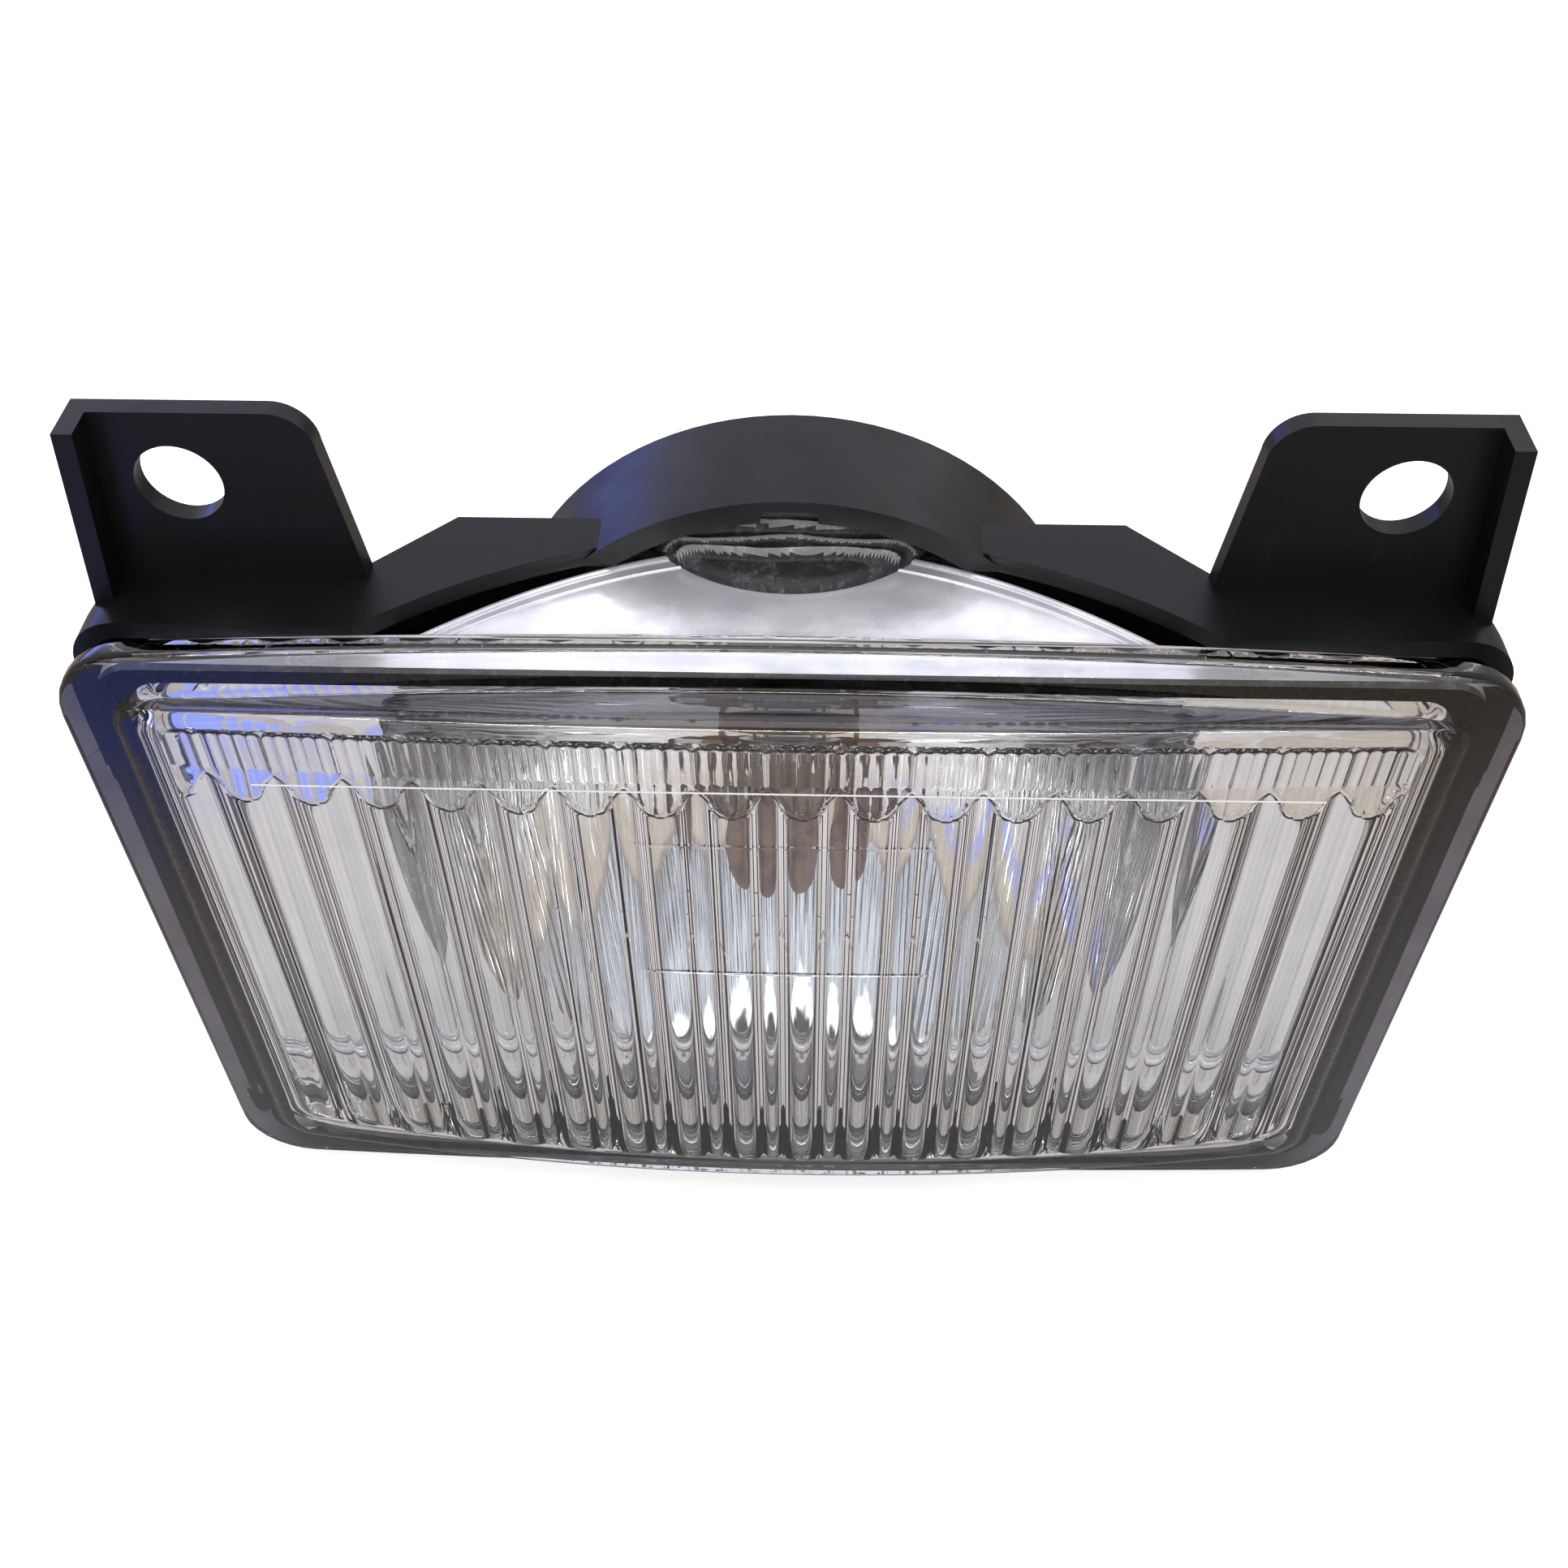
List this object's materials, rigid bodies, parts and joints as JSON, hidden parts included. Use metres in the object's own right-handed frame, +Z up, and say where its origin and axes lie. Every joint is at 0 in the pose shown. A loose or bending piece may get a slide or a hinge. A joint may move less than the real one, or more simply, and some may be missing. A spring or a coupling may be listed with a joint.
{
  "type": "fog light",
  "caption": "Rectangular vehicle fog light with a fluted glass lens and metallised reflector that tilt in a black bracket with two bolt ears and a rear collar.",
  "frame": {"origin": "midway between the two ear holes, in the middle of the ears' thickness", "axes": "+X to the right as seen from the front, +Y to the rear along the holes, +Z up"},
  "size_m": [0.16, 0.0476, 0.1238],
  "materials": {
    "black_nylon": "satin moulded",
    "cap_nylon": "fine grained moulded",
    "natural_nylon": "waxy moulded",
    "vent_plastic": "matt",
    "black_rubber": "matt with dust",
    "grey_silicone": "matt",
    "red_silicone": "matt",
    "red_insulation": "glossy insulation",
    "clear_glass": "polished pressed glass",
    "quartz": "polished",
    "metallised": "vacuum metallised",
    "zinc_steel": "zinc plated",
    "shield_steel": "bright formed sheet",
    "base_steel": "plated",
    "spring_steel": "blued",
    "tinned_brass": "tinned",
    "tungsten": "drawn wire"
  },
  "bodies": {
    "bracket": {"bracket_frame": "black_nylon", "pivot_pins": "zinc_steel", "aim_bush": "natural_nylon", "boot": "black_rubber", "connector_socket": "black_nylon", "socket_gasket": "grey_silicone", "socket_terminals": "tinned_brass", "bulb_leads": "red_insulation", "lead_sleeves": "black_nylon"},
    "optical_unit": {"lens": "clear_glass", "lens_seal": "black_rubber", "reflector": "metallised", "pivot_bushes": "natural_nylon", "aim_nut": "natural_nylon", "bulb_shield": "shield_steel", "shield_rivets": "zinc_steel", "bulb_capsule": "quartz", "bulb_base": "base_steel", "bulb_flange": "base_steel", "bulb_contact": "tinned_brass", "filament": "tungsten", "filament_posts": "tungsten"},
    "adjuster": {"aim_screw": "zinc_steel", "aim_clip": "spring_steel"},
    "cap": {"rear_cap": "cap_nylon", "cap_seal": "red_silicone", "vent_plug": "vent_plastic"},
    "ring": {"retainer_ring": "spring_steel"}
  },
  "joints": [
    {"name": "unit_tilt", "type": "hinge", "parent": "bracket", "child": "optical_unit", "pos_m": [0, -0.0052, -0.0626], "axis": [1, 0, 0], "range_deg": [-2.5, 2.5]},
    {"name": "aim_screw_turn", "type": "hinge", "parent": "bracket", "child": "adjuster", "pos_m": [0.024, 0.0118, -0.1026], "axis": [0, 1, 0], "range_deg": [-400, 400]},
    {"name": "cap_twist", "type": "hinge", "parent": "bracket", "child": "cap", "pos_m": [0, 0.0208, -0.0426], "axis": [0, 1, 0], "range_deg": [-30, 0]},
    {"name": "ring_twist", "type": "hinge", "parent": "optical_unit", "child": "ring", "pos_m": [0, 0.0158, -0.0426], "axis": [0, 1, 0], "range_deg": [-25, 0]}
  ],
  "couplings": [
    {"joint": "aim_screw_turn", "follows": "unit_tilt", "ratio": -157.08}
  ]
}
